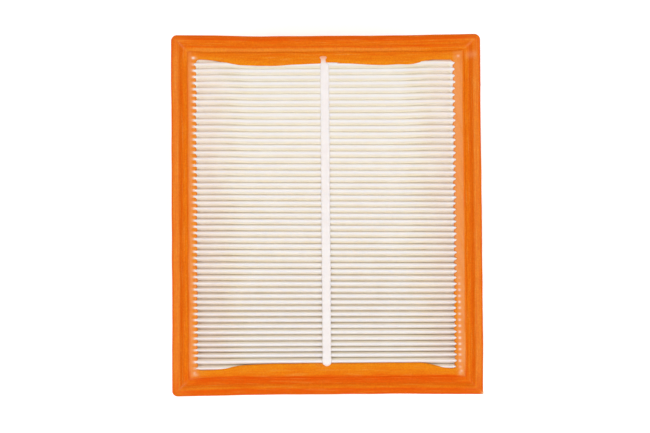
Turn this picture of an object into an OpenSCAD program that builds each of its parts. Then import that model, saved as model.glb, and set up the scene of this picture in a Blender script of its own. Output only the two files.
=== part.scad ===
// Panel air filter: a moulded polyurethane seal frame around a pack of pleated paper.
// Millimetres. +Z is the clean-air side, X runs along the pleats and Y across them.
// The origin is the middle of the face that the filter rests on.

/* [Overall] */
// Width of the flange, along the pleats
frame_w = 183; // [150:1:220]
// Length of the flange, across the pleats
frame_l = 213; // [180:1:250]
// Height from the resting face to the crest of the seal
total_h = 45; // [40:1:60]

/* [Seal frame] */
// Thickness of the flange, from its seat to the crest
flange_t = 6; // [5:0.5:8]
// Height of the collar under the flange
collar_h = 11; // [8:0.5:14]
// Radius of the flange's corners
corner_r = 3.5; // [2:0.5:4]
// How far the collar stands in from the flange's edge
seat_w = 5.5; // [4:0.5:6]
// Depth of the trough behind the sealing ridge
trough_depth = 2.6; // [2:0.1:3]
// How far the land around the pleats lies under the crest
land_drop = 1.4; // [1:0.1:1.8]

/* [Pleated paper] */
// Number of folds on the clean-air side
pleat_count = 52; // [40:1:54]
// Thickness of the paper
paper_t = 0.55; // [0.4:0.05:0.7]
// Radius of a fold, at the middle of the paper
fold_r = 0.5; // [0.4:0.05:0.6]
// Straight pieces in the arc of one fold
fold_steps = 4; // [3:1:8]

/* [Hot-melt glue] */
// Width of a glue bead
bead_w = 5; // [4:0.5:7]
// How far the beads stand proud of the folds
bead_proud = 0.4; // [0.3:0.1:0.6]
// How far the beads reach down between the folds
bead_sink = 1; // [0.6:0.1:1.5]
// How far a bead's round end stays clear of the last fold's flank
bead_setback = 0.4; // [0.2:0.1:1]
// Length of the glue that closes the ends of a pleat
seal_len = 3.5; // [2:0.5:5]

/* [Hidden] */
$fn = 64;

// Heights, and how deep the foam lies over the folds and reaches down behind them
seat_z = total_h - flange_t;
collar_z = seat_z - collar_h;
land_z = total_h - land_drop;
land_cover = 0.4;
land_depth = 7.6;
comb_drop = 0.6;
fold_top = land_z - land_cover;
fold_bottom = bead_proud;
comb_z = fold_top - comb_drop;

// Distances in from the flange's outer edge
crest_start = 1.2;
crest_end = 4.2;
trough_start = 6.4;
trough_end = 9.6;
paper_edge = 10;
land_start = 10.2;
land_end = 12.8;
comb_end = 15.4;
first_fold = 12.5;

// Slope and bevels of the collar and the flange
draft = 1.5;
edge_bevel = 0.6;
lip_bevel = 0.8;

// Room between a land and the next fold, and how far the bead lies over the land
clearance = 0.05;
tail_overlap = 1;

// Pleats: fold 0 is the outer bottom fold, odd folds are on top
last_fold = 2 * pleat_count;
half_pitch = (frame_l - 2 * first_fold) / (pleat_count - 1) / 2;
outer_r = fold_r + paper_t / 2;
inner_r = fold_r - paper_t / 2;
fold_rise = fold_top - fold_bottom - 2 * outer_r;
lean = atan(half_pitch / fold_rise) - asin(2 * fold_r / norm([half_pitch, fold_rise]));
paper_w = frame_w - 2 * paper_edge;
window_w = frame_w - 2 * comb_end;
panel_end_z = collar_z + 8;
panel_rise = panel_end_z - fold_bottom - outer_r;

// Cross-section of the frame: distance in from the outer edge, height
frame_section = [
    [0, seat_z + lip_bevel],
    [0, total_h - crest_start],
    [crest_start, total_h],
    [crest_end, total_h],
    [trough_start, total_h - trough_depth],
    [trough_end, total_h - trough_depth],
    [land_start, land_z],
    [land_end, land_z],
    [land_end, collar_z],
    [seat_w + draft + edge_bevel, collar_z],
    [seat_w + draft, collar_z + edge_bevel],
    [seat_w, seat_z],
    [lip_bevel, seat_z],
];

function is_top(i) = i % 2 == 1;
function fold_centre(i) =
    [(i - pleat_count) * half_pitch, is_top(i) ? fold_top - outer_r : fold_bottom + outer_r];
function fold_angle(i, s) =
    is_top(i) ? (180 - lean) - s * (180 - 2 * lean) : (180 + lean) + s * (180 - 2 * lean);
function fold_arc(i, r) =
    [for (j = [0 : fold_steps])
        let (a = fold_angle(i, j / fold_steps)) fold_centre(i) + r * [cos(a), sin(a)]];

// Upper and lower faces of the folded sheet, as points in the YZ plane
function upper_face() = [for (i = [0 : last_fold]) each fold_arc(i, is_top(i) ? outer_r : inner_r)];
function lower_face() =
    [for (i = [last_fold : -1 : 0]) each reverse(fold_arc(i, is_top(i) ? inner_r : outer_r))];
function reverse(list) = [for (i = [len(list) - 1 : -1 : 0]) list[i]];
// A point up the outermost panel from a bottom fold, on the side given by s
function panel_top(i, r, s) =
    fold_centre(i) + r * [s * cos(lean), -sin(lean)] + panel_rise * [s * sin(lean), cos(lean)];

// The gap inside fold i, from the fold to height z
function gap_outline(i, z) =
    let (c = fold_centre(i), half = inner_r / cos(lean) + abs(z - c[1]) * tan(lean))
    concat([[c[0] - half, z]], fold_arc(i, inner_r), [[c[0] + half, z]]);

// Extrudes an outline in the YZ plane along X, from x0 over a length
module along_x(x0, length) {
    translate([x0, 0, 0]) rotate([90, 0, 90]) linear_extrude(height = length) children();
}

module folded_sheet() {
    along_x(-paper_w / 2, paper_w) polygon(concat(
        [panel_top(0, inner_r, -1)],
        upper_face(),
        [panel_top(last_fold, inner_r, 1), panel_top(last_fold, outer_r, 1)],
        lower_face(),
        [panel_top(0, outer_r, -1)]
    ));
}

// One side of the frame: its section along a side, cut to a mitre at both ends
module mitred_side(length, reach) {
    intersection() {
        rotate([90, 0, 0]) translate([-reach, 0, -length / 2]) linear_extrude(height = length)
            polygon(frame_section);
        linear_extrude(height = total_h + 1)
            polygon([[-reach, -length / 2], [-reach, length / 2],
                     [-reach + length / 2, 0]]);
    }
}

module rounded_prism(w, l, r, h) {
    linear_extrude(height = h) union() {
        square([w - 2 * r, l], center = true);
        square([w, l - 2 * r], center = true);
        for (sx = [-1, 1], sy = [-1, 1])
            translate([sx * (w / 2 - r), sy * (l / 2 - r)]) circle(r);
    }
}

// The moulded ring before the paper is cast into it
module moulded_ring() {
    intersection() {
        union() {
            for (turn = [0, 180]) {
                rotate([0, 0, turn]) mitred_side(frame_l, frame_w / 2);
                rotate([0, 0, turn + 90]) mitred_side(frame_w, frame_l / 2);
            }
        }
        rounded_prism(frame_w, frame_l, corner_r, total_h + 1);
    }
}

// The foam that fills the ends of the pleats, on both sides
module end_combs() {
    for (s = [-1, 1])
        translate([s * (window_w / 2 + (comb_end - paper_edge) / 2), 0, (comb_z + collar_z) / 2])
            cube([comb_end - paper_edge, frame_l - 2 * paper_edge, comb_z - collar_z], center = true);
}

// The foam over the first and last folds, down into the valley behind them
module end_lands() {
    inner = first_fold + 2 * half_pitch - outer_r - clearance;
    for (s = [-1, 1])
        translate([0, s * (frame_l - paper_edge - inner) / 2, land_z - land_depth / 2])
            cube([frame_w - 2 * paper_edge, inner - paper_edge, land_depth], center = true);
}

module seal_frame() {
    color("darkorange") difference() {
        union() {
            moulded_ring();
            end_combs();
            end_lands();
        }
        folded_sheet();
        for (i = [1, last_fold - 1])
            along_x(-window_w / 2, window_w) polygon(gap_outline(i, collar_z - 1));
    }
}

module pleated_media() {
    color("ivory") folded_sheet();
}

// The side of a bead that is moulded on the folds from first_i to last_i, and reaches
// between them to height z
function bead_underside(first_i, last_i, z) = [
    for (i = [first_i : 2 : last_i])
        let (c = fold_centre(i), half = outer_r / cos(lean) + abs(z - c[1]) * tan(lean))
        each concat([[c[0] - half, z]], fold_arc(i, outer_r), [[c[0] + half, z]])
];

// A strip in plan from y0 to y1, with a round end at y0
module strip_plan(y0, y1) {
    linear_extrude(height = total_h + 1) union() {
        translate([-bead_w / 2, y0 + bead_w / 2]) square([bead_w, y1 - y0 - bead_w / 2]);
        translate([0, y0 + bead_w / 2]) circle(d = bead_w);
    }
}

// The bead across the clean-air side; its tail lies on the land at +Y
module front_glue_bead() {
    top = fold_top + 2 * bead_proud;
    line = bead_underside(3, last_fold - 3, fold_top - bead_sink);
    start = line[0][0];
    land = line[len(line) - 1][0];
    tail = frame_l / 2 - land_end + tail_overlap;
    color("white") intersection() {
        along_x(-bead_w / 2, bead_w)
            polygon(concat(line, [[land, land_z], [tail, land_z], [tail, top], [start, top]]));
        strip_plan(start + bead_setback, tail + bead_w);
    }
}

// The bead across the dirty-air side
module back_glue_bead() {
    line = bead_underside(0, last_fold, fold_bottom + bead_sink);
    start = line[0][0];
    end = line[len(line) - 1][0];
    color("white") intersection() {
        along_x(-bead_w / 2, bead_w) polygon(concat(line, [[end, 0], [start, 0]]));
        strip_plan(start + bead_setback, end + bead_w);
    }
}

// Glue between the panels of every valley at one end of the pack, up to the collar
module edge_seals(x0) {
    color("whitesmoke") for (i = [0 : 2 : last_fold])
        along_x(x0, seal_len) polygon(gap_outline(i, collar_z));
}

module left_edge_seals() {
    edge_seals(-paper_w / 2);
}

module right_edge_seals() {
    edge_seals(paper_w / 2 - seal_len);
}

seal_frame();
pleated_media();
front_glue_bead();
back_glue_bead();
left_edge_seals();
right_edge_seals();
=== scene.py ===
"""The looks of a panel air filter: orange foam frame, pleated paper, hot-melt glue.

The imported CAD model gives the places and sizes. Lengths below are in millimetres, and
make_piece() scales them to metres. X runs along the pleats, Y across them, and +Z is
the clean-air side. "Right" is +X, "top" is +Y.
"""
import math

import bpy
import numpy as np
from mathutils import Matrix, Vector


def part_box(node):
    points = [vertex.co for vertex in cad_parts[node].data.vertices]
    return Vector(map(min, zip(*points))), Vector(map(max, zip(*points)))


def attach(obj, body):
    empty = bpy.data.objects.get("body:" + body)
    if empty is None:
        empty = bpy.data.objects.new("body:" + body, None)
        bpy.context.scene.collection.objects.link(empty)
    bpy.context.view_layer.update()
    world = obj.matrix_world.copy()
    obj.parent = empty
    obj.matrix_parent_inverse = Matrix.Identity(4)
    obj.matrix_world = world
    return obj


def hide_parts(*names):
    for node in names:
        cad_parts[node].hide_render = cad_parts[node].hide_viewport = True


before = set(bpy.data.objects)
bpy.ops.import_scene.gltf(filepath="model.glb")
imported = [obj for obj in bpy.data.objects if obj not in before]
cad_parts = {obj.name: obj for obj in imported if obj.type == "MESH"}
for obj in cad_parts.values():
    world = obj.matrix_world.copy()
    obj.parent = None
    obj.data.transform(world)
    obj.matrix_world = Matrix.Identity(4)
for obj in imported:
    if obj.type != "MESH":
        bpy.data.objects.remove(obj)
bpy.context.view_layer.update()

MM = 0.001


def node_box(node):
    """Lowest and highest corner of a CAD node, in millimetres."""
    low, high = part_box(node)
    return np.array(low) / MM, np.array(high) / MM


FRAME_LOW, FRAME_HIGH = node_box("seal_frame")
PAPER_LOW, PAPER_HIGH = node_box("pleated_media")
_, FRONT_HIGH = node_box("front_glue_bead")
BACK_LOW, BACK_HIGH = node_box("back_glue_bead")

# Foam frame: half sizes of the rim, a little inside the CAD's so that its ripples don't
# pass them, heights, and half sizes of the window, which window_loop() makes wavy.
HALF_W, HALF_L = FRAME_HIGH[0] - 0.2, FRAME_HIGH[1] - 0.1
CREST_Z, COLLAR_Z = FRAME_HIGH[2], FRAME_LOW[2]
LAND_Z = CREST_Z - 1.4
WINDOW_X, WINDOW_Y = 76.0, 91.9
WINDOW_R = 2.0
# Length of the stretch before a corner in which the sections fan out into the mitre
FAN = 11
# Outer corner radii, by the signs of X and Y. The bottom right one is a sharp nib.
CORNER_R = {(1, 1): 3.5, (-1, 1): 3.5, (-1, -1): 3.2, (1, -1): 0.6}
# How far the right, top, left and bottom sides bend in
SIDE_BOW = (0.1, 1.1, 0.1, 0.6)

# Paper. Folds are numbered from -Y to +Y: even ones lie on the dirty-air side, odd ones
# on the clean-air side, where the valley between two folds has the even number.
PLEATS = 52
LAST_FOLD = 2 * PLEATS
PAPER_T = 0.45
FOLD_TOP, FOLD_LOW = PAPER_HIGH[2] - 0.13, PAPER_LOW[2]
PAPER_X = PAPER_HIGH[0]
# Mean distance between folds, Y of the pack's middle, and half the pack's length
PITCH = 3.63
PACK_MIDDLE = -2.4
HALF_PACK = PITCH * PLEATS / 2
# Slope of the folds in the middle of the pack
FOLD_SKEW = 0.0107
# Distance from X = 0 at which the painted shade at the folds' ends stops
END_SHADE_STOP_RIGHT, END_SHADE_STOP_LEFT = 73.0, 75.6

# Glue beads: X of their middle line, points round a section, distance between sections
BEAD_X = -0.6
BEAD_SECTION = 20
BEAD_STEP = 0.35

# Seeds of the ripples that differ from fold to fold
SEED_STRAY, SEED_TIP, SEED_DEPTH, SEED_SEAL = 100, 300, 500, 800


# ---------------------------------------------------------------- helpers

def smooth(edge0, edge1, x):
    """0 before edge0, 1 after edge1, and a smooth turn between them."""
    t = np.clip((x - edge0) / (edge1 - edge0), 0, 1)
    return t * t * (3 - 2 * t)


def hump(x, centre, width):
    """A bell curve of height 1."""
    return np.exp(-(((x - centre) / width) ** 2))


def ripple(x, seed, length):
    """Smooth noise from -1 to 1 along x, whose features are about length long."""
    knots = np.random.default_rng(seed).uniform(-1, 1, 512)
    place = np.asarray(x, float) / length + 256
    cell = np.floor(place).astype(int)
    t = place - cell
    t = t * t * (3 - 2 * t)
    return knots[cell % 512] * (1 - t) + knots[(cell + 1) % 512] * t


def fold_places():
    """Y of every fold at x = 0: the soft pack sags toward -Y and isn't quite even.

    u runs from -1 to 1 over the pack.
    """
    u = np.arange(LAST_FOLD + 1) / PLEATS - 1
    rim_shading_and_streaks = 1.6 * u ** 2 + 0.26 * np.cos(9.8 * u + 0.8)
    slump = 0.68 * smooth(-0.91, -0.79, u) * (1 - smooth(0.5, 0.82, u))
    slump -= 0.5 * hump(u, -0.86, 0.045)
    return PACK_MIDDLE + u * HALF_PACK + rim_shading_and_streaks - slump


FOLD_PLACES = fold_places()


def skew(x, u):
    """How far a fold at x lies toward -Y; u runs from -1 to 1 over the pack.

    The folds in the middle of the pack are turned a little, and the ends of the
    uppermost ones turn up.
    """
    turned_up = 0.55 * smooth(40, 72, np.abs(x)) * smooth(0.2, 0.6, u)
    return FOLD_SKEW * x * (1 - u ** 2) - turned_up


def fold_y(i, x):
    """Y of fold i at x."""
    return FOLD_PLACES[i] - skew(x, i / PLEATS - 1)


def tooth(x, y):
    """1 in the middle of a valley and 0 on a fold, for the foam fingers in the valleys."""
    u = (y - PACK_MIDDLE) / HALF_PACK
    number = np.interp(y + skew(x, u), FOLD_PLACES, np.arange(LAST_FOLD + 1))
    return 0.5 + 0.5 * np.cos(math.pi * number)


def lean(u):
    """How far the tips of the folds lean toward +Y; u runs from -1 to 1 over the pack."""
    return -0.25 + 0.75 * smooth(-0.8, -0.2, u)


def crest(x, y):
    """1 over the tip of a fold and 0 half-way to the next one."""
    return 1 - tooth(x, y - lean((y - PACK_MIDDLE) / HALF_PACK))


def make_piece(name, points, faces, material, body="root"):
    """A closed mesh piece from points in millimetres, shaded smooth."""
    mesh = bpy.data.meshes.new(name)
    mesh.from_pydata((np.asarray(points) * MM).tolist(), [], faces)
    mesh.validate()
    mesh.polygons.foreach_set("use_smooth", [True] * len(mesh.polygons))
    mesh.materials.append(material)
    piece = bpy.data.objects.new(name, mesh)
    bpy.context.scene.collection.objects.link(piece)
    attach(piece, body)
    return piece


def add_attribute(piece, name, values):
    """One number for each point of the mesh, for its material to read."""
    layer = piece.data.attributes.new(name, "FLOAT", "POINT")
    layer.data.foreach_set("value", np.asarray(values, np.float32).ravel())


def grid_faces(rows, columns, close_rows, close_columns):
    """Quads of a grid of points, numbered row by row."""
    faces = []
    for i in range(rows if close_rows else rows - 1):
        a, b = i * columns, (i + 1) % rows * columns
        for j in range(columns if close_columns else columns - 1):
            k = (j + 1) % columns
            faces.append((a + j, a + k, b + k, b + j))
    return faces


# ---------------------------------------------------------------- materials

def new_material(name):
    """An empty node material with its Principled shader."""
    material = bpy.data.materials.new(name)
    material.use_nodes = True
    tree = material.node_tree
    return material, tree, tree.nodes["Principled BSDF"]


def add_node(tree, kind, **values):
    """A node with its settings, and its input sockets given by name."""
    node = tree.nodes.new(kind)
    for key, value in values.items():
        if hasattr(node, key):
            setattr(node, key, value)
        else:
            node.inputs[key.replace("_", " ")].default_value = value
    return node


def noise(tree, vector, scale, detail=3, rough=0.5):
    """The value of a noise texture on a vector socket."""
    node = add_node(tree, "ShaderNodeTexNoise", Scale=scale, Detail=detail, Roughness=rough)
    tree.links.new(vector, node.inputs["Vector"])
    return node.outputs["Fac"]


def span(tree, value, low, high, to_low, to_high):
    """value's range low..high as to_low..to_high, clamped."""
    node = tree.nodes.new("ShaderNodeMapRange")
    for socket, number in zip(node.inputs[1:5], (low, high, to_low, to_high)):
        socket.default_value = number
    tree.links.new(value, node.inputs[0])
    return node.outputs[0]


def blend_colour(tree, factor, first, second):
    """A mix of two colours. Each is a socket or a colour."""
    node = tree.nodes.new("ShaderNodeMix")
    node.data_type = "RGBA"
    tree.links.new(factor, node.inputs[0])
    for socket, colour in ((node.inputs[6], first), (node.inputs[7], second)):
        if isinstance(colour, tuple):
            socket.default_value = (*colour, 1)
        else:
            tree.links.new(colour, socket)
    return node.outputs[2]


def attribute(tree, name):
    """The number that add_attribute() stored at each point of the mesh."""
    return add_node(tree, "ShaderNodeAttribute", attribute_name=name).outputs["Fac"]


def stretched(tree, along, across, up):
    """Object coordinates scaled apart, so that a texture is drawn out into streaks."""
    where = tree.nodes.new("ShaderNodeTexCoord").outputs["Object"]
    node = tree.nodes.new("ShaderNodeMapping")
    node.inputs["Scale"].default_value = (along, across, up)
    tree.links.new(where, node.inputs["Vector"])
    return node.outputs["Vector"]


def add_bump(tree, shader, height, strength, distance, before=None):
    """A bump on the shader, on top of another one if there is one before."""
    node = add_node(tree, "ShaderNodeBump", Strength=strength, Distance=distance)
    tree.links.new(height, node.inputs["Height"])
    if before is not None:
        tree.links.new(before, node.inputs["Normal"])
    tree.links.new(node.outputs["Normal"], shader.inputs["Normal"])
    return node.outputs["Normal"]


# Foam: the skin where the rim's painted shade is 0 and where its painted light is 1, its
# mottling, streaks of painted sheen and grain, the film through which the paper shows (also
# the colour of painted highlights), and the bare paper
FOAM_SHADE = (0.705, 0.096, 0.0012)
FOAM_LIT = (0.755, 0.245, 0.006)
FOAM_MOTTLE = (0.68, 0.13, 0.004)
FOAM_STREAK_SHEEN = (0.74, 0.26, 0.06)
FOAM_GRAIN = (0.50, 0.06, 0.001)
FOAM_FILM_AND_HIGHLIGHT = (0.74, 0.31, 0.13)
FOAM_BARE = (0.78, 0.60, 0.52)
# Paper: the tip of a fold, painted shade down its flank, on its deeper flank and in the
# valley, painted shade with a pink tint towards the ends of the folds, and the clouds and
# fibres
PAPER_TIP = (0.79, 0.757, 0.777)
PAPER_FLANK_SHADE = (0.725, 0.625, 0.485)
PAPER_DEEP_SHADE = (0.79, 0.69, 0.50)
PAPER_VALLEY_SHADE = (0.58, 0.49, 0.31)
PAPER_END_SHADE = (0.80, 0.64, 0.62)
PAPER_CLOUD = (0.83, 0.77, 0.71)
PAPER_FIBRE = (0.80, 0.73, 0.64)
# Glue: clear, cloudy, and thin enough for the foam to show through
GLUE_CLEAR = (0.78, 0.735, 0.72)
GLUE_CLOUD = (0.755, 0.70, 0.685)
GLUE_THIN = (0.76, 0.30, 0.13)
# Scale of light's way under the skin, in metres
GLOW_DEPTH = 0.0015


def foam_material():
    """Moulded polyurethane: a satin orange skin with streaks along each side, and painted
    light, shade and sheen.
    """
    material, tree, shader = new_material("pu_foam")
    skin = tree.nodes.new("ShaderNodeCombineXYZ")
    for socket, name in zip(skin.inputs, ("run", "inward", "height")):
        tree.links.new(attribute(tree, name), socket)
    lengthwise = tree.nodes.new("ShaderNodeMapping")
    lengthwise.inputs["Scale"].default_value = (0.035, 1, 1)
    tree.links.new(skin.outputs[0], lengthwise.inputs["Vector"])
    streak = noise(tree, lengthwise.outputs[0], 1.7, 4, 0.65)
    mottle = noise(tree, stretched(tree, 1, 1, 1), 160, 5, 0.6)
    grain = noise(tree, stretched(tree, 1, 1, 1), 1100, 3, 0.6)
    pale = attribute(tree, "pale")

    # The rim's painted light and shade, moved up and down by the streaks
    rim_shading_and_streaks = add_node(tree, "ShaderNodeMath", operation="MULTIPLY_ADD")
    tree.links.new(span(tree, streak, 0.3, 0.7, -0.5, 0.5), rim_shading_and_streaks.inputs[0])
    rim_shading_and_streaks.inputs[1].default_value = 0.7
    tree.links.new(attribute(tree, "rim_shading"), rim_shading_and_streaks.inputs[2])
    body = blend_colour(tree, rim_shading_and_streaks.outputs[0], FOAM_SHADE, FOAM_LIT)
    for amount, colour in (
        (span(tree, mottle, 0.4, 0.75, 0, 0.35), FOAM_MOTTLE),
        # Painted sheen on the lighter streaks
        (span(tree, streak, 0.56, 0.72, 0, 0.55), FOAM_STREAK_SHEEN),
        (span(tree, grain, 0.35, 0.65, 0, 0.32), FOAM_GRAIN),
        # The film over the paper, and painted highlights on the rim
        (span(tree, pale, 0, 1, 0, 1), FOAM_FILM_AND_HIGHLIGHT),
        (span(tree, pale, 1, 2, 0, 1), FOAM_BARE),
    ):
        body = blend_colour(tree, amount, body, colour)
    tree.links.new(body, shader.inputs["Base Color"])
    tree.links.new(span(tree, streak, 0.3, 0.7, 0.42, 0.62), shader.inputs["Roughness"])
    shader.inputs["Specular IOR Level"].default_value = 0.03
    shader.inputs["Subsurface Weight"].default_value = 0.12
    shader.inputs["Subsurface Radius"].default_value = (1.0, 0.35, 0.1)
    shader.inputs["Subsurface Scale"].default_value = GLOW_DEPTH
    fine = add_bump(tree, shader, grain, 0.2, 0.0001)
    add_bump(tree, shader, streak, 0.35, 0.0003, fine)
    return material


def paper_material():
    """Cellulose filter paper: off-white, with shade painted creamier down the valleys, and
    fibres and clouds.
    """
    material, tree, shader = new_material("filter_paper")
    fibres = noise(tree, stretched(tree, 1, 3.2, 3.2), 900, 5, 0.65)
    clouds = noise(tree, stretched(tree, 1, 1, 1), 90, 3, 0.5)
    depth = attribute(tree, "depth")
    edge = attribute(tree, "edge")
    # Painted shade: the depth value darkens and yellows the paper from the tips into the
    # valleys
    shade = blend_colour(tree, span(tree, depth, 0, 0.64, 0, 1), PAPER_TIP, PAPER_FLANK_SHADE)
    for amount, colour in (
        (span(tree, depth, 0.64, 1, 0, 1), PAPER_DEEP_SHADE),
        (span(tree, depth, 0.9, 1.45, 0, 1), PAPER_VALLEY_SHADE),
        # Painted shade with a pink tint towards the ends of the folds
        (span(tree, edge, 0, 1, 0, 0.45), PAPER_END_SHADE),
        (span(tree, clouds, 0.35, 0.7, 0, 0.3), PAPER_CLOUD),
        (span(tree, fibres, 0.45, 0.8, 0, 0.45), PAPER_FIBRE),
    ):
        shade = blend_colour(tree, amount, shade, colour)
    tree.links.new(shade, shader.inputs["Base Color"])
    tree.links.new(span(tree, fibres, 0.3, 0.7, 0.82, 0.96), shader.inputs["Roughness"])
    shader.inputs["Specular IOR Level"].default_value = 0.15
    shader.inputs["Subsurface Weight"].default_value = 0.3
    shader.inputs["Subsurface Radius"].default_value = (1.0, 0.8, 0.55)
    shader.inputs["Subsurface Scale"].default_value = GLOW_DEPTH
    add_bump(tree, shader, fibres, 0.25, 0.00012)
    return material


def glue_material():
    """Hot-melt glue: waxy and slightly translucent, with a soft uneven skin."""
    material, tree, shader = new_material("hot_melt")
    lumps = noise(tree, stretched(tree, 1, 0.6, 1), 420, 3, 0.5)
    cloud = noise(tree, stretched(tree, 1, 1, 1), 120, 3, 0.5)
    shade = blend_colour(tree, span(tree, cloud, 0.35, 0.7, 0, 1), GLUE_CLEAR, GLUE_CLOUD)
    shade = blend_colour(tree, attribute(tree, "thin"), shade, GLUE_THIN)
    tree.links.new(shade, shader.inputs["Base Color"])
    tree.links.new(span(tree, lumps, 0.3, 0.7, 0.4, 0.58), shader.inputs["Roughness"])
    shader.inputs["Specular IOR Level"].default_value = 0.35
    shader.inputs["Subsurface Weight"].default_value = 0.3
    shader.inputs["Subsurface Radius"].default_value = (1.0, 0.85, 0.7)
    shader.inputs["Subsurface Scale"].default_value = GLOW_DEPTH
    add_bump(tree, shader, lumps, 0.3, 0.0003)
    return material


# ---------------------------------------------------------------- foam frame

# One section of the frame, from the lip up over the sealing ridge, down into the
# trough and up to the land: distance in from the edge and height, on the long sides
# and on the short sides. The short sides have a softer rim, and a step half-way down
# to the trough.
RIM_SECTION = [
    (0.00, 39.9, 0.00, 39.9),
    (0.00, 41.4, 0.00, 41.2),
    (0.00, 42.7, 0.02, 42.4),
    (0.12, 43.6, 0.22, 43.3),
    (0.45, 44.25, 0.80, 44.0),
    (0.95, 44.65, 1.60, 44.5),
    (1.70, 44.90, 2.40, 44.85),
    (2.60, 45.00, 2.90, 44.98),
    (3.05, 45.00, 3.50, 45.00),
    (3.50, 44.98, 4.20, 44.95),
    (4.30, 44.80, 4.90, 44.75),
    (4.90, 44.35, 5.50, 44.40),
    (5.60, 43.60, 6.10, 43.95),
    (6.40, 42.85, 6.70, 43.50),
    (7.20, 42.45, 7.40, 43.25),
    (8.20, 42.40, 8.10, 43.25),
    (9.00, 42.40, 8.90, 42.90),
    (9.35, 42.60, 9.60, 42.45),
    (9.55, 43.10, 10.10, 42.50),
    (9.80, 43.50, 10.60, 43.10),
    (10.20, 43.62, 10.90, 43.50),
    (11.20, 43.62, 11.50, 43.62),
]
# From there to the window's edge: share of the way, and height on the left side, on
# the right side and on the short sides.
LIP_SECTION = [
    (0.12, 43.55, 43.60, 43.60),
    (0.24, 43.45, 43.58, 43.60),
    (0.36, 43.38, 43.55, 43.60),
    (0.48, 43.30, 43.50, 43.60),
    (0.60, 43.22, 43.42, 43.59),
    (0.72, 43.12, 43.34, 43.56),
    (0.84, 42.98, 43.22, 43.45),
    (0.94, 42.65, 42.90, 43.20),
    (1.00, 41.70, 41.80, 42.60),
]
# Height at which the window's edge is drawn for the lip, and where the wall has its points
LIP_Z = 43
WALL_HEIGHTS = [40.0, 36.0, 32.0, 28.5, 28.0]
# The underside, from the wall out to the lip: distance in from the edge and height
COLLAR_SECTION = [
    (10.5, 28.0),
    (8.0, 28.0),
    (7.35, 28.15),
    (7.0, 28.6),
    (6.3, 33.5),
    (5.6, 38.4),
    (5.2, 38.9),
    (4.6, 39.0),
    (1.0, 39.0),
    (0.3, 39.2),
]


def side_stations(reach, step, fine_step, fine_zone):
    """Places along one side from -reach up to reach, closer together near the corners."""
    middle = reach - fine_zone
    coarse = np.linspace(-middle, middle, int(round(2 * middle / step)) + 1)
    fine = np.linspace(middle, reach, int(round(fine_zone / fine_step)) + 1)[1:]
    return np.concatenate([-fine[::-1], coarse, fine])[:-1]


class Stations:
    """The places round the frame at which its section is drawn, anticlockwise.

    side is 0 on the right, 1 at the top, 2 on the left and 3 at the bottom, and place is
    how far along its side a station lies. shortness is 1 on the short sides and 0 on the
    long ones, rightness is 1 on the right and 0 on the left, and offset_place differs
    from side to side, so that their ripples differ.
    """

    def __init__(self):
        long_side = side_stations(WINDOW_Y, PITCH / 12, PITCH / 12, FAN)
        short_side = side_stations(WINDOW_X, 1.1, 0.45, FAN + 2)
        parts = [long_side, short_side, long_side, short_side]
        self.side = np.concatenate([np.full(len(p), i) for i, p in enumerate(parts)])
        self.place = np.concatenate(parts)
        self.is_short = (self.side % 2).astype(bool)
        self.reach = np.where(self.is_short, WINDOW_X, WINDOW_Y)
        from_corner = self.reach - np.abs(self.place)
        toward_other = 0.5 * (1 - smooth(0, 7, from_corner))
        self.shortness = np.where(self.is_short, 1 - toward_other, toward_other)
        outward_x, _ = self.turn(np.ones_like(self.place), np.zeros_like(self.place))
        self.rightness = 0.5 + 0.5 * outward_x
        self.offset_place = self.place + 60 * self.side

    def turn(self, across, along):
        """From a side's own (across, along) to X and Y."""
        cos = np.array([1, 0, -1, 0])[self.side]
        sin = np.array([0, 1, 0, -1])[self.side]
        return across * cos - along * sin, across * sin + along * cos

    def corner_radius(self, least):
        """The outer corner radius at the end of the side that each place is nearest to."""
        x, y = self.turn(self.reach, self.place)
        radii = [CORNER_R[(1 if a > 0 else -1, 1 if b > 0 else -1)] for a, b in zip(x, y)]
        return np.maximum(np.array(radii) - least, 0.15)

    def loop(self, half_w, half_l, radius):
        """A rounded rectangle with one point for each place."""
        across = np.where(self.is_short, half_l, half_w)
        end = np.where(self.is_short, half_w, half_l)
        flat = self.reach - FAN
        beyond = np.maximum(np.abs(self.place) - flat, 0)
        along = np.minimum(np.abs(self.place), flat) + beyond * (end - flat) / FAN
        turn = np.clip((along - (end - radius)) / radius, 0, 1) * math.pi / 4
        rounded = along > end - radius
        along = np.where(rounded, end - radius + radius * np.sin(turn), along)
        across = np.where(rounded, across - radius + radius * np.cos(turn), across)
        return self.turn(across, along * np.sign(self.place))


def land_reach(x, is_top):
    """How far the foam of a short side runs in over the first folds, past WINDOW_Y."""
    if is_top:
        middle = 3.2 * smooth(-73, -50, x) * (1 - smooth(48, 64, x)) + 1.2 * smooth(40, 60, x)
        two_waves = 1.4 * hump(x, -34, 18) + 1.2 * hump(x, 34, 17)
        return 0.2 + middle + two_waves
    left_part = 2.4 * smooth(-70, -50, x) + 1.2 * smooth(-60, -28, x)
    return 0.8 + left_part * (1 - smooth(53.5, 73.5, x))


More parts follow.
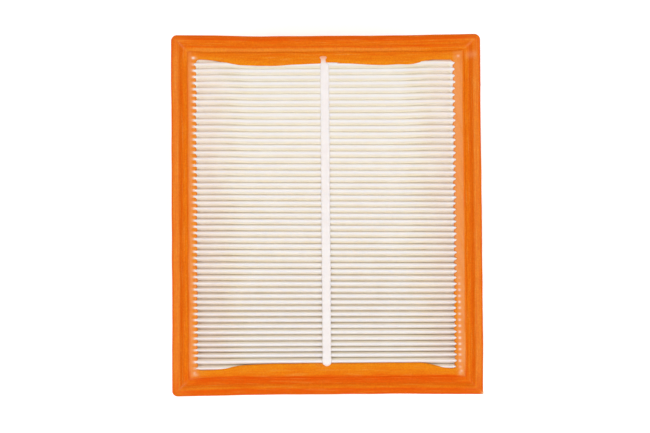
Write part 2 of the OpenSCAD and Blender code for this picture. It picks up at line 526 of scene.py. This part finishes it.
def window_loop(stations, height):
    """The frame's inner edge at a height: fingers between the folds, a wavy land."""
    x, y = stations.loop(WINDOW_X, WINDOW_Y, WINDOW_R)
    corner = 1 - smooth(0, 4, stations.reach - np.abs(stations.place))
    depth = smooth(42.5, 37, height)
    on_fold = crest(x, y)
    is_right = x > 0
    upper = smooth(-60, -20, y)
    # How far the foam draws back over a fold, and how far its edge lies in everywhere
    notch_right = (0.65 + 0.25 * upper) * smooth(0.45, 0.8, on_fold)
    notch_left = 0.6 * smooth(0.62, 0.92, on_fold) + 0.3 * on_fold
    notch = np.where(is_right, notch_right, notch_left) * (1 - depth)
    inset = np.where(is_right, 1.6 - 0.35 * upper, -0.3)
    outward = notch + 0.3 * ripple(y, 3, 2.6) - inset
    x = x + np.sign(x) * outward * np.where(stations.is_short, corner, 1)
    land = np.where(y > 0, land_reach(x, True), land_reach(x, False))
    land = land + 0.12 * ripple(x, 5, 7)
    inward = land * (1 - depth) - 1.4 * depth
    y = y - np.sign(y) * inward * np.where(stations.is_short, 1, corner)
    return x, y


def side_bow(stations, x, y, inward):
    """The sides of the soft frame bend in a little between the corners.

    The top right corner also lies a little low, and the bottom of the right side a
    little in, except for the nib at its corner.
    """
    rim = 1 - smooth(4, 14, inward)
    amount = np.array(SIDE_BOW)[stations.side] * rim
    t = np.abs(stations.place) / stations.reach
    bend = amount * (1 - smooth(0.45, 1.0, t)) + 0.12 * ripple(stations.place, 11, 13)
    bx, by = stations.turn(bend, np.zeros_like(bend))
    y = y - 0.6 * rim * smooth(30, 75, x) * smooth(60, HALF_L, y)
    beside_nib = 1 - hump(y, -HALF_L, 1.5)
    x = x - 0.4 * rim * smooth(60, HALF_L, -y) * smooth(60, HALF_W, x) * beside_nib
    return x - bx, y - by


def frame_rings(stations):
    """All rings of the frame in order, with the distance in from the edge of each."""
    rings = []
    for d_long, z_long, d_short, z_short in RIM_SECTION:
        inward = d_long + (d_short - d_long) * stations.shortness
        height = z_long + (z_short - z_long) * stations.shortness
        x, y = stations.loop(HALF_W - inward, HALF_L - inward, stations.corner_radius(inward))
        x, y = side_bow(stations, x, y, inward)
        wobble = 0.07 * ripple(stations.offset_place + 3 * d_long, 21, 9)
        height = np.minimum(height + wobble * smooth(42, 43, height), CREST_Z)
        rings.append((x, y, height, inward))
    rim_x, rim_y, _, rim_in = rings[-1]
    edge_x, edge_y = window_loop(stations, LIP_Z)
    for share, z_left, z_right, z_short in LIP_SECTION:
        z_long = z_left + (z_right - z_left) * stations.rightness
        height = z_long + (z_short - z_long) * stations.shortness
        x = rim_x + (edge_x - rim_x) * share
        y = rim_y + (edge_y - rim_y) * share
        wobble = 0.06 * ripple(stations.offset_place, 33, 8)
        rings.append((x, y, height + wobble, rim_in + 4 * share))
    for z in WALL_HEIGHTS:
        x, y = window_loop(stations, z)
        rings.append((x, y, np.full_like(x, z), np.full_like(x, 16.0)))
    for inward, z in COLLAR_SECTION:
        offset = np.full_like(stations.place, inward)
        x, y = stations.loop(HALF_W - inward, HALF_L - inward, stations.corner_radius(inward))
        x, y = side_bow(stations, x, y, offset)
        rings.append((x, y, np.full_like(x, z), offset))
    return rings


# Light and shade painted into the skin across the rim, from 0, deep reddish orange where
# shade is painted, to 1, light yellowish orange where light is painted, as (distance in
# from the edge, value) on each side.
LONG_RIM_SHADING = [(0, 0.1), (0.7, 0.2), (1.2, 0.62), (4.2, 0.62), (4.9, 0.35), (5.6, 0.3),
              (7.0, 0.4), (7.6, 0.65), (9.2, 0.65), (9.6, 0.5), (10.4, 0.55),
              (11.6, 0.9), (16, 1.05)]
TOP_RIM_SHADING = [(0, 0.15), (0.6, 0.25), (1.4, 0.1), (1.8, -0.1), (2.9, -0.05), (3.3, 0.4),
             (4.4, 0.3), (5.4, 0.5), (6.0, 0.45), (6.6, 0.15), (7.2, 0.15), (7.9, 0.5),
             (8.5, 0.6), (9.6, 0.6), (10.1, 0.6), (10.7, 0.6), (11.3, 0.45), (12.2, 0.6),
             (13.6, 0.75), (14.6, 1.0), (16, 1.1)]
BOTTOM_RIM_SHADING = [(0, 0.05), (1.6, 0.1), (2.4, 0.0), (2.9, -0.15), (3.4, -0.05), (3.9, 0.5),
                (4.5, 0.65), (5.1, 0.4), (5.8, 0.45), (6.3, 0.35), (6.8, 0.1), (11.2, 0.05),
                (11.9, 0.6), (13.2, 0.8), (14.2, 1.0), (16, 1.2)]


def top_highlight_band(stations, x, y, inward):
    """1 on the painted highlight band at the bottom of the upper trough, which ends short of
    the right.
    """
    return hump(inward, 8.9, 0.9) * (y > 0) * stations.shortness * (1 - smooth(35, 65, x))


def paint_rim_shading(stations, x, y, inward):
    """The painted light and shade at each point of a ring, mixed near the corners."""
    long_tone, top_tone, bottom_tone = (
        np.interp(inward, *zip(*tones)) for tones in (LONG_RIM_SHADING, TOP_RIM_SHADING, BOTTOM_RIM_SHADING)
    )
    short_tone = np.where(y > 0, top_tone, bottom_tone)
    rim_shading = long_tone + (short_tone - long_tone) * stations.shortness
    # Plus the painted highlight band in the upper trough
    return rim_shading + 0.6 * top_highlight_band(stations, x, y, inward)


def paper_film_and_highlights(stations, x, y, inward):
    """How much the paper shows through, 1 on a thin film of foam and 2 where it is bare, plus
    painted highlights.
    """
    long_side = 1 - stations.shortness
    land = np.where(x > 0, smooth(10.2, 11.0, inward), smooth(9.4, 10.1, inward))
    film = land * (1 - smooth(15.6, 16, inward)) * long_side
    on_fold = smooth(0.45, 0.8, crest(x, y))
    lower_right = (x > 0) * (1 - smooth(-48, -30, y))
    # On the left a line next to the trough, and the ends of the folds
    left = 0.25 * hump(x, -79.9, 0.9) + 1.9 * on_fold * hump(x, -77.5, 1.5) + 0.16
    # On the right a film all over, and spots over the ends of the lower folds
    right = 0.54 * smooth(74.4, 75.6, x) - 0.06 * smooth(77.5, 80, x)
    right = right - 0.45 * lower_right * hump(x, 75.7, 0.9)
    spots = 1.25 * on_fold * hump(x, 77.4, 0.9) * lower_right
    side = np.where(x > 0, right + spots, left) + 0.12 * ripple(y + 3 * x, 41, 4)
    # Outside the land: spots in the window's corners, painted sheen on the sealing ridge and a
    # painted highlight on the light band, painted highlights on the mitres, the nib, and a
    # painted highlight at the top right
    corner_spots = land * hump(np.abs(x), 78.2, 0.9) * hump(np.abs(y), 92.6, 0.8)
    ridge_sheen = 0.1 * smooth(1.2, 1.6, inward) * (1 - smooth(4.2, 4.8, inward)) * long_side
    ridge_sheen = ridge_sheen + 0.14 * top_highlight_band(stations, x, y, inward)
    in_mitre = hump(HALF_W - np.abs(x) - HALF_L + np.abs(y), 0, 0.9) * hump(inward, 6, 2.0)
    mitre_highlight = np.where((x > 0) & (y < 0), 0.06, 0.28) * in_mitre
    nib = 1.7 * hump(x, HALF_W - 0.3, 1.3) * hump(y, 0.3 - HALF_L, 1.3)
    # A painted highlight at the top right corner
    corner_highlight = 0.35 * smooth(81.5, 84, x) * (1 - smooth(88.4, 89.4, x)) * hump(y, 93.4, 1.8)
    return np.clip(film * side + ridge_sheen + 1.3 * corner_spots + mitre_highlight + nib + corner_highlight, 0, 2)


def build_frame(material):
    """The moulded frame as one closed mesh of rings round the window."""
    stations = Stations()
    rings = frame_rings(stations)
    points = np.array([np.stack([x, y, z], 1) for x, y, z, _ in rings])
    count = len(stations.place)
    faces = grid_faces(len(rings), count, True, True)
    piece = make_piece("foam_seal_frame", points.reshape(-1, 3), faces, material)
    # The run has a jump from side to side, so that the streaks differ
    run = np.tile(stations.place + 300 * stations.side, (len(rings), 1))
    add_attribute(piece, "run", run)
    add_attribute(piece, "inward", [ring[3] for ring in rings])
    add_attribute(piece, "height", points[:, :, 2])
    pale = [paper_film_and_highlights(stations, x, y, inward) for x, y, _, inward in rings]
    rim_shading = [paint_rim_shading(stations, x, y, inward) for x, y, _, inward in rings]
    add_attribute(piece, "pale", pale)
    # Painted light and shade across the rim
    add_attribute(piece, "rim_shading", rim_shading)
    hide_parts("seal_frame")


# ---------------------------------------------------------------- pleated paper

# Places from the middle of a fold to its edge, as shares of the fold's half width
TOP_SHARES = (0.2, 0.42, 0.64, 0.83, 0.96, 1.0)
LOW_SHARES = (0.35, 0.7, 1.0)
# Heights of the panel's points between the folds
PANEL_HEIGHTS = (33.0, 14.0)
# Where the sheet's two free edges end
SHEET_END_Z = COLLAR_Z + 7
# Depth and half width of a fold on the dirty-air side
LOW_DEPTH = 2.2
LOW_HALF = 1.02
# Room left between two folds where they meet over a valley, on each side
CREASE_GAP = 0.01
# How far the outermost folds lean over, and the power that shapes a pointed fold: the
# outermost ones, and the others
OUTER_LEAN = 1.4
OUTER_SLOPE, SLOPE = 0.5, 1.3


def pinch(x):
    """0 in the middle, and 1 where the foam holds the ends of the folds narrow."""
    return smooth(56, 77, np.abs(x))


def past_end_shade(x, start, stop):
    """0 up to the end of the painted shade zone, and 1 past it, towards the foam."""
    end = np.where(x > 0, END_SHADE_STOP_RIGHT, END_SHADE_STOP_LEFT)
    return smooth(end + start, end + stop, np.abs(x))


def end_shade(x):
    """0 in the middle, and 1 near the ends of the folds, where shade is painted on the paper.
    """
    return smooth(42, 74, np.abs(x)) * (1 - past_end_shade(x, -0.8, 0.6))


def top_depth(share, x, i, pinched, slope):
    """How far below its top a fold is at a share of its half width; valley i is beside it."""
    up = i / PLEATS
    deepest = 3.45 - 1.9 * up + (0.2 + 0.5 * up) * pinched
    deepest += 0.2 * ripple(x + 23 * i, SEED_DEPTH + i, 40)
    rounded = 1 - math.sqrt(1 - share ** 2)
    pointed = share ** slope
    return deepest * (rounded + (pointed - rounded) * (0.3 + 0.7 * pinched))


def top_fold(i, x):
    """The middle line over fold i on the clean-air side, from valley to valley.

    Its depth values carry painted shade: of its two flanks the one painted darker is the one
    toward -Y, but in the lowest folds the one toward +Y.
    """
    u = i / PLEATS - 1
    facing_down = smooth(-0.8, -0.2, u)
    outermost = i in (1, LAST_FOLD - 1)
    pinched = 1 if outermost else pinch(x)
    slope = OUTER_SLOPE if outermost else SLOPE
    leaning = OUTER_LEAN * np.sign(u) if outermost else lean(u)
    stray = 0.1 * (1 - pinched) * ripple(x + 37 * i, SEED_STRAY + i, 45)
    tip_y = fold_y(i, x) + leaning + stray
    sunk = 1.1 * smooth(79.2, PAPER_X, abs(x)) + 0.06 * ripple(x + 11 * i, SEED_TIP + i, 30)
    tip_z = FOLD_TOP - PAPER_T / 2 - sunk
    line = [(tip_y, tip_z, 0)]
    # Less painted shade right beside the foam
    shade_kept = 1 - 0.6 * past_end_shade(x, -0.2, 1.2)
    for share in TOP_SHARES:
        for valley in (i - 1, i + 1):
            side = valley - i
            edge = fold_y(valley, x) - side * (CREASE_GAP + PAPER_T / 2)
            depth = top_depth(share, x, valley, pinched, slope)
            # Painted shade: more on one flank of each fold, and more near the ends of the
            # folds
            shaded = facing_down if side < 0 else 1 - facing_down
            painted_shade = 0.5 + 0.5 * end_shade(x) + shaded * (0.5 + 1.2 * end_shade(x))
            point = (tip_y + share * (edge - tip_y), tip_z - depth, share * painted_shade * shade_kept)
            line.insert(0 if side < 0 else len(line), point)
    return line


def low_fold(i, x):
    """The middle line round fold i on the dirty-air side."""
    tip_z = FOLD_LOW + PAPER_T / 2
    line = [(fold_y(i, x), tip_z, 0)]
    for share in LOW_SHARES:
        height = tip_z + LOW_DEPTH * (1 - math.sqrt(1 - share ** 2))
        line.insert(0, (fold_y(i, x) - share * LOW_HALF, height, share))
        line.append((fold_y(i, x) + share * LOW_HALF, height, share))
    return line


def panel(i, x):
    """Points between fold i and the next one, and 1 for how deep they lie, for full painted
    shade.
    """
    middle = (fold_y(i, x) + fold_y(i + 1, x)) / 2
    heights = reversed(PANEL_HEIGHTS) if i % 2 == 0 else PANEL_HEIGHTS
    return [(middle, z, 1) for z in heights]


def sheet_line(x):
    """The middle line of the folded sheet at x, as rows of (Y, Z, depth); depth sets painted
    shade.
    """
    half = PITCH / 4
    line = [(fold_y(0, x) - half, SHEET_END_Z, 1)]
    for i in range(LAST_FOLD + 1):
        line.extend(top_fold(i, x) if i % 2 else low_fold(i, x))
        if i < LAST_FOLD:
            line.extend(panel(i, x))
    line.append((fold_y(LAST_FOLD, x) + half, SHEET_END_Z, 1))
    return np.array(line)


def offset_line(line, distance):
    """The line moved sideways by a distance."""
    along = np.gradient(line, axis=0)
    along /= np.linalg.norm(along, axis=1)[:, None]
    return line + distance * np.stack([-along[:, 1], along[:, 0]], 1)


def build_paper(material):
    """One thin sheet, folded 52 times on the clean-air side, as a closed mesh."""
    near_ends = np.linspace(70, PAPER_X, 9)
    half = np.concatenate([np.arange(0, 54, 9), np.arange(54, 70, 4), near_ends])
    xs = np.concatenate([-half[:0:-1], half])
    rows, depths = [], []
    for x in xs:
        line = sheet_line(x)
        upper = offset_line(line[:, :2], PAPER_T / 2)
        lower = offset_line(line[:, :2], -PAPER_T / 2)
        ring = np.concatenate([lower, upper[::-1]])
        rows.append(np.column_stack([np.full(len(ring), x), ring]))
        depths.append(np.concatenate([line[:, 2], line[::-1, 2]]))
    columns = len(rows[0])
    faces = grid_faces(len(rows), columns, False, True)
    last = (len(rows) - 1) * columns
    for j in range(columns // 2 - 1):
        pair = (j, j + 1, columns - 2 - j, columns - 1 - j)
        faces.append(pair[::-1])
        faces.append(tuple(last + k for k in pair))
    piece = make_piece("pleated_paper", np.concatenate(rows), faces, material)
    # The painted shade of the paper, by depth and by flank
    add_attribute(piece, "depth", depths)
    # Painted shade with a pink tint near the ends of the folds
    add_attribute(piece, "edge", np.repeat(end_shade(xs), columns))
    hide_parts("pleated_media")


# ---------------------------------------------------------------- glue

def round_end(share):
    """Width of a bead's round end as a share of the full width, from 0 to 1 along it."""
    return math.sqrt(max(0.02, 1 - (1 - share) ** 2))


def bead_piece(name, stations, material):
    """A strip along Y. Each station is Y, half width, lowest Z, highest Z and middle X."""
    turn = np.linspace(2 * math.pi, 0, BEAD_SECTION, endpoint=False)
    across, up = np.cos(turn), np.sin(turn)
    rings = []
    for y, half, low, high, middle_x in stations:
        middle, tall = (low + high) / 2, (high - low) / 2
        x = half * np.sign(across) * np.abs(across) ** 0.7
        z = middle + tall * np.sign(up) * np.abs(up) ** 0.8
        rings.append(np.stack([x + middle_x, np.full(BEAD_SECTION, y), z], 1))
    faces = grid_faces(len(rings), BEAD_SECTION, False, True)
    faces.append(tuple(range(BEAD_SECTION))[::-1])
    last = (len(rings) - 1) * BEAD_SECTION
    faces.append(tuple(last + k for k in range(BEAD_SECTION)))
    return make_piece(name, np.concatenate(rings), faces, material)


def build_front_bead(material):
    """The bead on the clean-air side: a round end at -Y and a thin tail at +Y.

    The tail lies on the land, is narrow at first and spreads out at its end.
    """
    start, tail = -89.4, 93.4
    base, under = 43.3, 41.6
    stations = []
    for y in np.arange(start, tail, BEAD_STEP):
        on_fold = 1 - tooth(0, y)
        end = round_end(min((y - start) / 2.4, (tail - y) / 0.9, 1))
        narrow = 1 - 0.35 * smooth(88, 89.6, y) * (1 - smooth(91.2, 92.2, y))
        half = 2.6 * end * narrow + 0.1 * ripple(y, 61, 5) + 0.06 * on_fold
        rise = 0.5 * end + 0.12 * on_fold + 0.05 * ripple(y, 62, 9)
        high = min(FRONT_HIGH[2], base + rise)
        low = under + 0.9 * (1 - end)
        middle_x = BEAD_X - 0.8 * smooth(88, 90, y)
        stations.append((y, max(half, 0.3), low, high, middle_x))
    piece = bead_piece("front_glue_strip", stations, material)
    places = np.array([station[0] for station in stations])
    thin = 0.9 * smooth(87.8, 93, places) + 0.5 * smooth(-87.8, -89.4, places)
    add_attribute(piece, "thin", np.repeat(thin, BEAD_SECTION))
    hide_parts("front_glue_bead")


def build_back_bead(material):
    """The bead on the dirty-air side, from the first bottom fold to the last."""
    start, finish = BACK_LOW[1] + 0.1, BACK_HIGH[1] - 0.1
    stations = []
    for y in np.arange(start, finish, BEAD_STEP):
        end = round_end(min((y - start) / 2.4, (finish - y) / 2.4, 1))
        half = 2.5 * end + 0.12 * ripple(y, 71, 5)
        low = BACK_LOW[2] + 0.1 * (1 - tooth(0, y)) + 0.5 * (1 - end)
        high = 1.3 - 0.3 * (1 - end)
        stations.append((y, max(half, 0.3), low, high, BEAD_X))
    piece = bead_piece("back_glue_strip", stations, material)
    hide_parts("back_glue_bead")


def build_edge_seals(side, name, node, material):
    """Glue that closes the ends of the valleys below the collar, on one side of the pack.

    A fill's outline gives Y as a share of half the valley's width, and Z. Its places give
    the distance from X = 0, and how wide the fill is there, so that both ends are rounded.
    """
    inner_half = PITCH / 4 - PAPER_T / 2 + 0.05
    bottom, top = FOLD_LOW + PAPER_T, COLLAR_Z + 0.3
    flank = [(1.0, top), (1.05, 20), (1.0, 10), (1.15, 3.4), (0.95, 2.0), (0.5, bottom + 0.25)]
    outline = [(-y, z) for y, z in flank] + [(0, bottom)] + flank[::-1]
    places = [(78.0, 0.55), (78.4, 0.9), (79.2, 1.0), (81.1, 1.0), (81.5, 0.85), (81.7, 0.5)]
    columns = len(outline)
    points, faces = [], []
    for i in range(0, LAST_FOLD + 1, 2):
        rings = []
        for k, (distance, fill) in enumerate(places):
            x = side * (distance + 0.15 * ripple(40.0 * i, SEED_SEAL + k // 3, 9))
            half = fill * inner_half
            rings.extend((x, fold_y(i, x) + y * half, z) for y, z in outline)
        base = len(points)
        points.extend(rings)
        fill_faces = grid_faces(len(places), columns, False, True)
        fill_faces.append(tuple(range(columns))[::-1])
        fill_faces.append(tuple(range(len(rings) - columns, len(rings))))
        for face in fill_faces:
            corners = face if side > 0 else face[::-1]
            faces.append(tuple(base + corner for corner in corners))
    piece = make_piece(name, points, faces, material)
    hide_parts(node)


# ---------------------------------------------------------------- studio

def build_floor():
    """A plain pale floor."""
    material, _, shader = new_material("floor")
    shader.inputs["Base Color"].default_value = (0.93, 0.93, 0.93, 1)
    shader.inputs["Roughness"].default_value = 0.9
    shader.inputs["Emission Color"].default_value = (1, 1, 1, 1)
    shader.inputs["Emission Strength"].default_value = 0.25
    shader.inputs["Specular IOR Level"].default_value = 0.1
    mesh = bpy.data.meshes.new("floor")
    corners = [(-3, -3, 0), (3, -3, 0), (3, 3, 0), (-3, 3, 0)]
    mesh.from_pydata(corners, [], [(0, 1, 2, 3)])
    mesh.materials.append(material)
    floor = bpy.data.objects.new("floor", mesh)
    bpy.context.scene.collection.objects.link(floor)


def add_softbox(name, place, watts):
    """A square lamp that faces the filter."""
    lamp = bpy.data.lights.new(name, "AREA")
    lamp.shape = "SQUARE"
    lamp.size = 0.9
    lamp.energy = watts
    softbox = bpy.data.objects.new(name, lamp)
    bpy.context.scene.collection.objects.link(softbox)
    softbox.location = place
    softbox.rotation_mode = "QUATERNION"
    softbox.rotation_quaternion = (-Vector(place)).to_track_quat("-Z", "Y")


def build_studio():
    """Soft light from both sides and from above, and a pale room."""
    add_softbox("left_softbox", (-1.1, -0.1, 1.1), 9)
    add_softbox("right_softbox", (1.1, -0.1, 1.1), 9)
    add_softbox("front_softbox", (0.0, -1.1, 1.3), 6)
    add_softbox("back_softbox", (0.0, 1.1, 1.3), 4)
    world = bpy.data.worlds.new("studio")
    world.use_nodes = True
    background = world.node_tree.nodes["Background"]
    background.inputs["Color"].default_value = (1, 1, 1, 1)
    background.inputs["Strength"].default_value = 0.5
    bpy.context.scene.world = world
    bpy.context.scene.view_settings.view_transform = "Standard"


def build_camera():
    """Almost straight above the filter, a little towards -Y, with a slight roll."""
    data = bpy.data.cameras.new("camera")
    data.sensor_width = 36
    data.lens = 98
    data.clip_end = 20
    camera = bpy.data.objects.new("camera", data)
    bpy.context.scene.collection.objects.link(camera)
    target = Vector((-1.05, -1.55, LAND_Z)) * MM
    place = Vector((-1.05, -42.0, LAND_Z + 1039.0)) * MM
    camera.rotation_mode = "QUATERNION"
    look = (target - place).to_track_quat("-Z", "Y")
    roll = Matrix.Rotation(math.radians(-0.45), 3, "Z").to_quaternion()
    camera.location = place
    camera.rotation_quaternion = look @ roll
    bpy.context.scene.camera = camera


foam = foam_material()
paper = paper_material()
glue = glue_material()
build_frame(foam)
build_paper(paper)
build_front_bead(glue)
build_back_bead(glue)
build_edge_seals(-1, "left_edge_glue", "left_edge_seals", glue)
build_edge_seals(1, "right_edge_glue", "right_edge_seals", glue)
build_floor()
build_studio()
build_camera()
